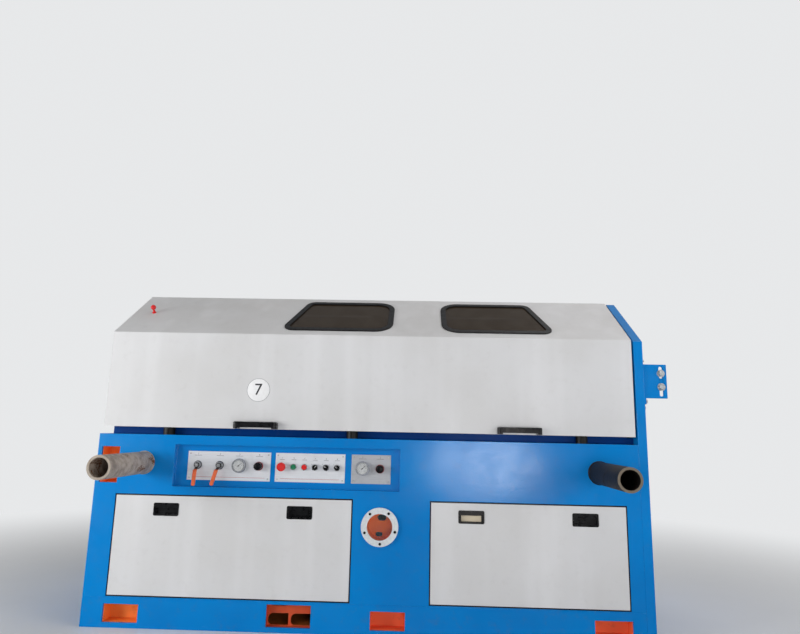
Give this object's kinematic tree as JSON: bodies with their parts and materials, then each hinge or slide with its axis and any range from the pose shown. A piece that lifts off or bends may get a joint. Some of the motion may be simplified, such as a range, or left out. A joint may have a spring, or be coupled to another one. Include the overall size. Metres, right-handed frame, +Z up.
{
  "type": "wet wire drawing machine",
  "caption": "Low blue machine body with white doors, a control recess and lifting tubes, under a hinged white hood with windows that covers stepped drawing cones.",
  "frame": {"origin": "centre of the base plate's underside", "axes": "+X along the machine to the right as seen from the front, -Y out of the front, +Z up"},
  "size_m": [2.672, 2.02, 1.62],
  "materials": {
    "blue_paint": "gloss",
    "dark_blue_paint": "gloss",
    "grey_paint": "satin",
    "orange_paint": "satin",
    "black_plastic": "satin",
    "panel_metal": "satin",
    "bright_steel": "bright",
    "cast_grey": "machined",
    "die_brass": "satin",
    "tank_steel": "dull",
    "grey_tube": "rusty",
    "brown_tube": "rusty",
    "rubber_black": "matt",
    "tinted_glass": "gloss",
    "clear_glass": "gloss",
    "red_plastic": "gloss",
    "green_plastic": "gloss",
    "orange_vinyl": "satin",
    "gauge_case": "satin"
  },
  "bodies": {
    "body": {"base_plate": "orange_paint", "front_sill": "blue_paint", "front_plate": "blue_paint", "left_wall": "blue_paint", "end_wall": "blue_paint", "gear_housing": "blue_paint", "rear_covers": "grey_paint", "deck": "dark_blue_paint", "tank": "tank_steel", "door_frames": "dark_blue_paint", "left_door": "grey_paint", "right_door": "grey_paint", "left_door_pulls": "black_plastic", "right_door_pulls": "black_plastic", "control_recess": "blue_paint", "valve_panel": "panel_metal", "switch_panel": "panel_metal", "regulator_panel": "panel_metal", "valve_hubs": "bright_steel", "pressure_gauges": "gauge_case", "knob_collars": "red_plastic", "switch_collars": "bright_steel", "sight_ring": "bright_steel", "sight_glass": "clear_glass", "sight_well": "orange_paint", "side_pocket": "orange_paint", "pocket_1": "orange_paint", "pocket_2": "orange_paint", "pocket_3": "orange_paint", "pocket_4": "orange_paint", "lifting_tube_left": "grey_tube", "lifting_tube_right": "brown_tube", "end_bracket": "blue_paint", "hood_bumpers": "rubber_black", "hinge_bases": "dark_blue_paint", "bearing_housings": "dark_blue_paint", "drawing_cones": "bright_steel", "die_stands": "cast_grey", "drawing_dies": "die_brass", "finishing_drum": "bright_steel"},
    "hood": {"hood_shell": "grey_paint", "hood_ends": "grey_paint", "hood_glass": "tinted_glass", "window_seals": "rubber_black", "hood_handles": "black_plastic", "ball_lamp": "red_plastic", "hinge_leaves": "grey_paint"},
    "lever_1": {"valve_lever_1": "orange_vinyl"},
    "lever_2": {"valve_lever_2": "orange_vinyl"},
    "knob_1": {"regulator_knob_1": "black_plastic"},
    "knob_2": {"regulator_knob_2": "black_plastic"},
    "stop_head": {"emergency_stop": "red_plastic"},
    "green_button": {"start_button": "green_plastic"},
    "red_button": {"stop_button": "red_plastic"},
    "turn_switch_1": {"selector_1": "black_plastic"},
    "turn_switch_2": {"selector_2": "black_plastic"},
    "turn_switch_3": {"selector_3": "black_plastic"}
  },
  "joints": [
    {"name": "hood_hinge", "type": "hinge", "parent": "body", "child": "hood", "pos_m": [0, 0.256, 1.609], "axis": [-1, 0, 0], "range_deg": [0, 75]},
    {"name": "valve_turn_1", "type": "hinge", "parent": "body", "child": "lever_1", "pos_m": [-0.81, -0.594, 0.716], "axis": [0, 1, 0], "range_deg": [-3, 87]},
    {"name": "valve_turn_2", "type": "hinge", "parent": "body", "child": "lever_2", "pos_m": [-0.706, -0.594, 0.716], "axis": [0, 1, 0], "range_deg": [-15, 75]},
    {"name": "regulator_turn_1", "type": "hinge", "parent": "body", "child": "knob_1", "pos_m": [-0.52, -0.594, 0.716], "axis": [0, 1, 0], "range_deg": [0, 720]},
    {"name": "regulator_turn_2", "type": "hinge", "parent": "body", "child": "knob_2", "pos_m": [0.05, -0.594, 0.716], "axis": [0, 1, 0], "range_deg": [0, 720]},
    {"name": "emergency_push", "type": "slide", "parent": "body", "child": "stop_head", "axis": [0, 1, 0], "range_m": [0, 0.003]},
    {"name": "start_push", "type": "slide", "parent": "body", "child": "green_button", "axis": [0, 1, 0], "range_m": [0, 0.003], "stiffness_N_per_m": 300},
    {"name": "stop_push", "type": "slide", "parent": "body", "child": "red_button", "axis": [0, 1, 0], "range_m": [0, 0.003], "stiffness_N_per_m": 300},
    {"name": "selector_turn_1", "type": "hinge", "parent": "body", "child": "turn_switch_1", "pos_m": [-0.255, -0.594, 0.716], "axis": [0, 1, 0], "range_deg": [-90, 0]},
    {"name": "selector_turn_2", "type": "hinge", "parent": "body", "child": "turn_switch_2", "pos_m": [-0.203, -0.594, 0.716], "axis": [0, 1, 0], "range_deg": [0, 90]},
    {"name": "selector_turn_3", "type": "hinge", "parent": "body", "child": "turn_switch_3", "pos_m": [-0.151, -0.594, 0.716], "axis": [0, 1, 0], "range_deg": [0, 90]}
  ]
}
